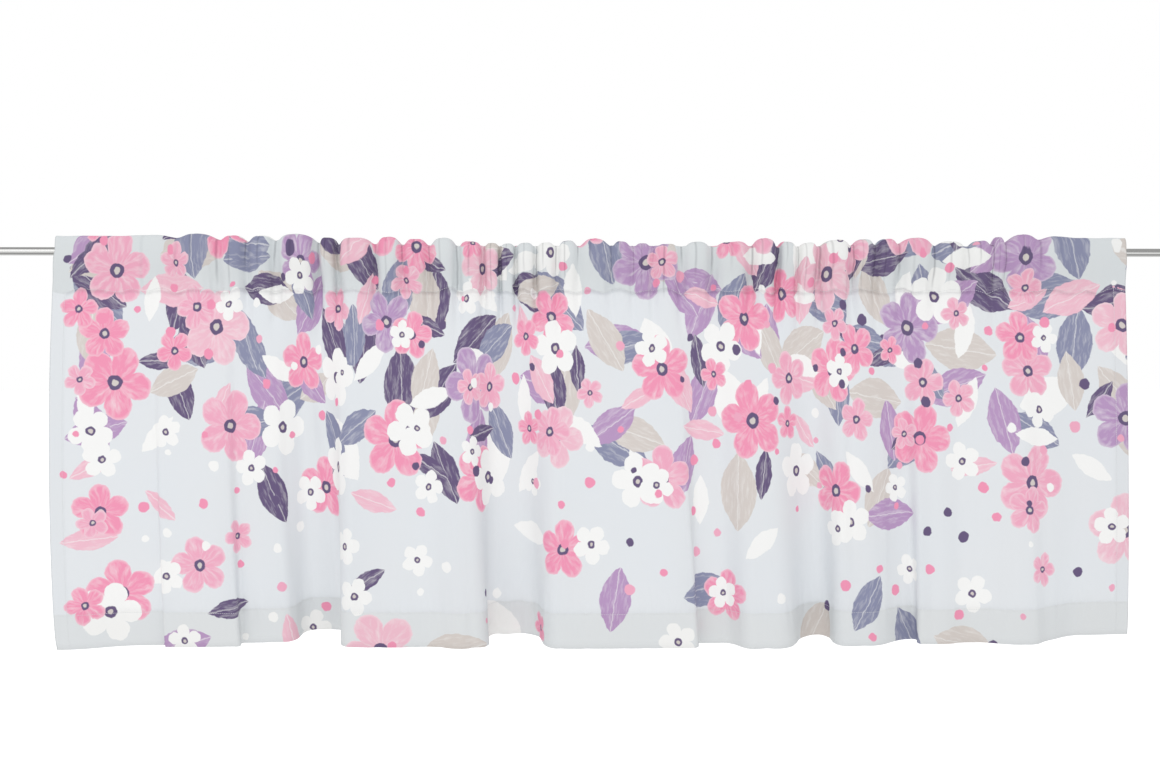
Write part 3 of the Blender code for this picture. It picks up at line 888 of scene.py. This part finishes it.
def thin_creases(shade, v, first, strength):
    """Sharp creases in the pocket, from 0 to 1: one in each gather, the share first of a gather away from its
    start, of uneven length and not quite straight."""
    gather = shade.split(shade.node("ShaderNodeUVMap", uv_map="gathers").outputs[0])[0]
    drawn_up = shade.split(shade.node("ShaderNodeUVMap", uv_map="strength").outputs[0])[0]
    gather = shade.maths("ADD", gather, 0.5 - first)
    number = shade.maths("FLOOR", gather)
    chance = shade.chances(number, first, THIN_CREASE_DRAWS)
    place = shade.vector(shade.maths("MULTIPLY", number, THIN_CREASE_CHANGE), v, first)
    bend = shade.noise(place, THIN_CREASE_BENDS, detail=1.0)
    gather = shade.maths("MULTIPLY_ADD", shade.maths("SUBTRACT", bend, 0.5), THIN_CREASE_WANDER, gather)
    slant = shade.maths("MULTIPLY", shade.maths("SUBTRACT", chance[1], 0.5), THIN_CREASE_WANDER)
    gather = shade.maths("ADD", gather, slant)
    distance = shade.maths("ABSOLUTE", shade.maths("SUBTRACT", shade.maths("SUBTRACT", gather, number), 0.5))
    line = shade.ramp(distance, THIN_CREASE_CORE * THIN_CREASE_WIDTH, THIN_CREASE_WIDTH, 1.0, 0.0)
    above = shade.maths("SUBTRACT", v, FRONT_LENGTH)
    below_back = shade.maths("SUBTRACT", FRONT_LENGTH + 2 * POCKET_FLAT_HEIGHT, v)
    level = shade.maths("DIVIDE", shade.maths("MINIMUM", above, below_back), POCKET_FLAT_HEIGHT)
    end = shade.maths("MULTIPLY_ADD", chance[0], THIN_CREASE_END_RANGE, THIN_CREASE_LOWEST_END)
    fade = shade.maths("DIVIDE", shade.maths("SUBTRACT", level, end), THIN_CREASE_FADE, clamp=True)
    weight = shade.maths("MULTIPLY_ADD", chance[2], 1.0 - THIN_CREASE_WEAKEST, THIN_CREASE_WEAKEST)
    weight = shade.maths("MULTIPLY", shade.maths("MULTIPLY", weight, drawn_up), strength)
    return shade.maths("MULTIPLY", shade.maths("MULTIPLY", line, fade), weight)


def weave_relief(shade, flat_place):
    """Bumps of the weave: spots drawn out along the threads of both directions."""
    threads = []
    for scale in ((WEAVE_ALONG, WEAVE_ACROSS, 1.0), (WEAVE_ACROSS, WEAVE_ALONG, 1.0)):
        weave = shade.node("ShaderNodeMapping", {"Vector": flat_place, "Scale": scale}).outputs[0]
        threads.append(shade.noise(weave, 1.0, detail=1.0))
    return shade.bump(*WEAVE_BUMP, shade.maths("ADD", *threads))


def cloth_material(width):
    """Pale cotton, printed on its front, a little light coming through, with painted shade where it lies
    double.
    """
    made = bpy.data.materials.new("printed_cotton")
    shade = Shade(made)
    flat_place = shade.node("ShaderNodeUVMap", uv_map="flat_cloth").outputs[0]
    u, v, _ = shade.split(flat_place)
    in_side = shade.maths("MINIMUM", u, shade.maths("SUBTRACT", width, u))
    side_hem = shade.maths("LESS_THAN", in_side, SIDE_HEM)
    bottom_hem = shade.maths("LESS_THAN", v, BOTTOM_HEM)
    wave = shade.noise(flat_place, SEAM_WAVE_PITCH, detail=1.0)
    drawn = shade.maths("MULTIPLY_ADD", wave, SEAM_WAVE, FRONT_LENGTH - SEAM_ALLOWANCE)
    pocket = shade.ramp(shade.maths("SUBTRACT", v, drawn), -SEAM_EDGE, SEAM_EDGE)
    hem = shade.maths("MAXIMUM", side_hem, bottom_hem)
    tone = shade.ramp(shade.noise(flat_place, TONE_PITCH), *TONE_RANGE)
    ground = shade.mix(shade.maths("MULTIPLY", tone, WARMEST_SHARE), GROUND, WARM_GROUND)
    colour, printed = print_colour(shade, u, v, ground)
    # Painted shade where the cloth lies double, in the pocket round the rod and in the bottom hem; the print
    # hides most of it
    bare = shade.maths("MULTIPLY_ADD", printed, SHADE_ON_PRINT - 1.0, 1.0)
    colour = shade.times(shade.maths("MULTIPLY", pocket, bare), colour, POCKET_PAINTED_SHADE)
    colour = shade.times(shade.maths("MULTIPLY", bottom_hem, bare), colour, HEM_PAINTED_SHADE)
    # Painted shade along the thin creases, which also get a bump
    creases = [thin_creases(shade, v, first, share) for first, share in CREASES_IN_GATHER]
    creases = shade.maths("MAXIMUM", *creases)
    colour = shade.times(creases, colour, CREASE_PAINTED_SHADE)
    smooth = shade.maths("SUBTRACT", 1.0, creases)
    relief = shade.bump(*THIN_CREASE_BUMP, smooth, weave_relief(shade, flat_place))
    back = shade.mix(1.0 - PRINT_ON_BACK, colour, ground)
    facing = shade.node("ShaderNodeNewGeometry").outputs["Backfacing"]
    colour = shade.mix(facing, colour, back)
    shade.put(shade.shader.inputs["Base Color"], colour)
    shade.put(shade.shader.inputs["Normal"], relief)
    shade.put(shade.shader.inputs["Roughness"], CLOTH_ROUGHNESS)
    shade.put(shade.shader.inputs["Specular IOR Level"], CLOTH_SPECULAR)
    through = shade.node("ShaderNodeBsdfTranslucent", {"Color": colour})
    doubled = shade.maths("MAXIMUM", pocket, hem)
    share = shade.maths("MULTIPLY_ADD", doubled, DOUBLED_TRANSLUCENCY - TRANSLUCENCY, TRANSLUCENCY)
    both = shade.node("ShaderNodeMixShader", {0: share, 1: shade.shader.outputs[0], 2: through.outputs[0]})
    shade.put(shade.tree.nodes["Material Output"].inputs["Surface"], both.outputs[0])
    return made


def plain(name, colour, roughness, specular):
    made = bpy.data.materials.new(name)
    shade = Shade(made)
    shade.put(shade.shader.inputs["Base Color"], colour)
    shade.put(shade.shader.inputs["Roughness"], roughness)
    shade.put(shade.shader.inputs["Specular IOR Level"], specular)
    return made


def steel_material():
    """Brushed steel with fine lines along the rod."""
    made = bpy.data.materials.new("brushed_steel")
    shade = Shade(made)
    place = shade.node("ShaderNodeTexCoord").outputs["Object"]
    lines = shade.node("ShaderNodeMapping", {"Vector": place, "Scale": GRAIN_LINES}).outputs[0]
    grain = shade.noise(lines, 1.0, detail=3.0)
    shade.put(shade.shader.inputs["Base Color"], STEEL)
    shade.put(shade.shader.inputs["Metallic"], 1.0)
    shade.put(shade.shader.inputs["Roughness"], shade.ramp(grain, *GRAIN_ROUGHNESS))
    shade.put(shade.shader.inputs["Normal"], shade.bump(*GRAIN_BUMP, grain))
    return made


def sewing(sheet_front, out, down, width):
    """All stitch lines: along the pocket, along the bottom hem and down both side hems."""
    places = np.abs(cloth_places(width)[0])
    columns = len(places)
    inner = np.arange(SIDE_HEM_COLUMNS, columns - SIDE_HEM_COLUMNS)
    lines = []
    for depth in (STITCH_FROM_EDGE, FRONT_LENGTH - BOTTOM_HEM + STITCH_FROM_EDGE):
        row = int(np.searchsorted(down, depth))
        share = (depth - down[row - 1]) / (down[row] - down[row - 1])
        path = sheet_front[row - 1, inner] * (1 - share) + sheet_front[row, inner] * share
        lines.append(stitch_line(path, out[row, inner]))
    for place in (SIDE_HEM - STITCH_FROM_EDGE, width - SIDE_HEM + STITCH_FROM_EDGE):
        column = int(inner[0] + round(place / width * (COLUMNS - 1)))
        lines.append(stitch_line(sheet_front[:, column], out[:, column]))
    return [np.concatenate(parts) for parts in zip(*lines)]


def area_light(name, place, target, size, power):
    data = bpy.data.lights.new(name, "AREA")
    data.shape = "RECTANGLE"
    data.size, data.size_y = size
    data.energy = power
    light = add_object(name, data)
    light.location = place
    light.rotation_euler = (Vector(target) - Vector(place)).to_track_quat("-Z", "Y").to_euler()


def set_floor():
    """A wide pale floor that glows a little. The rod doesn't mirror it, and it doesn't light the cloth."""
    floor = plain("pale_floor", FLOOR_COLOUR, FLOOR_ROUGHNESS, 0.0)
    glow = Shade(floor).shader.inputs
    glow["Emission Color"].default_value = PURE_WHITE
    glow["Emission Strength"].default_value = FLOOR_GLOW
    bpy.ops.mesh.primitive_plane_add(size=FLOOR_SIZE, location=(CLOTH_MIDDLE, 0.0, FLOOR_HEIGHT))
    ground = bpy.context.object
    ground.name = "studio_floor"
    ground.data.materials.append(floor)
    ground.visible_glossy = False
    ground.visible_diffuse = False


def set_world():
    """White behind the cloth, an even pale light on it, and bands of grey for the polished rod to mirror."""
    world = bpy.data.worlds.new("studio")
    bpy.context.scene.world = world
    shade = Shade(world)
    _, back, up = shade.split(shade.node("ShaderNodeTexCoord").outputs["Generated"])
    turn = shade.maths("ARCTAN2", up, shade.maths("MULTIPLY", back, -1.0))
    mirrored = shade.blend(shade.maths("MULTIPLY_ADD", turn, 0.5 / math.pi, 0.5), MIRRORED)
    ray = shade.node("ShaderNodeLightPath").outputs
    light = shade.mix(ray["Is Glossy Ray"], SKY_LIGHT, mirrored)
    seen = shade.mix(ray["Is Camera Ray"], light, PURE_WHITE)
    shade.put(shade.tree.nodes["Background"].inputs["Color"], seen)


def set_lights():
    middle = (CLOTH_MIDDLE, 0.0, LIT_HEIGHT)
    for name, (right, behind, above), size, power in LIGHTS:
        area_light(name, (CLOTH_MIDDLE + right, behind, above), middle, size, power)


def set_camera():
    data = bpy.data.cameras.new("photo_camera")
    data.sensor_width = SENSOR_WIDTH
    data.lens = FOCAL_PIXELS / PHOTO_WIDTH * SENSOR_WIDTH
    data.shift_y = -HORIZON_ABOVE_MIDDLE / PHOTO_WIDTH
    data.clip_end = FARTHEST_SEEN
    camera = add_object("photo_camera", data)
    foot = CLOTH_MIDDLE - CLOTH_RIGHT_OF_CAMERA
    across = foot - CAMERA_DISTANCE * math.sin(CAMERA_TURN)
    camera.location = (across, -CAMERA_DISTANCE * math.cos(CAMERA_TURN), CAMERA_HEIGHT)
    camera.rotation_euler = (math.pi / 2, 0.0, -CAMERA_TURN)
    bpy.context.scene.camera = camera


def main():
    drape = Drape()
    sheet, front, out, down = build_sheet(drape)
    sheet.data.materials.append(cloth_material(drape.width))
    thread = stitches("stitching", *sewing(front, out, down, drape.width))
    thread.data.materials.append(plain("thread", THREAD_COLOUR, THREAD_ROUGHNESS, THREAD_SPECULAR))
    rod = bpy.data.objects["curtain_rod"]
    rod.data.materials.clear()
    rod.data.materials.append(steel_material())
    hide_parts("valance_cloth")
    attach(sheet, "root")
    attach(thread, "root")
    set_floor()
    set_world()
    set_lights()
    set_camera()
    bpy.context.scene.view_settings.view_transform = "Standard"


main()
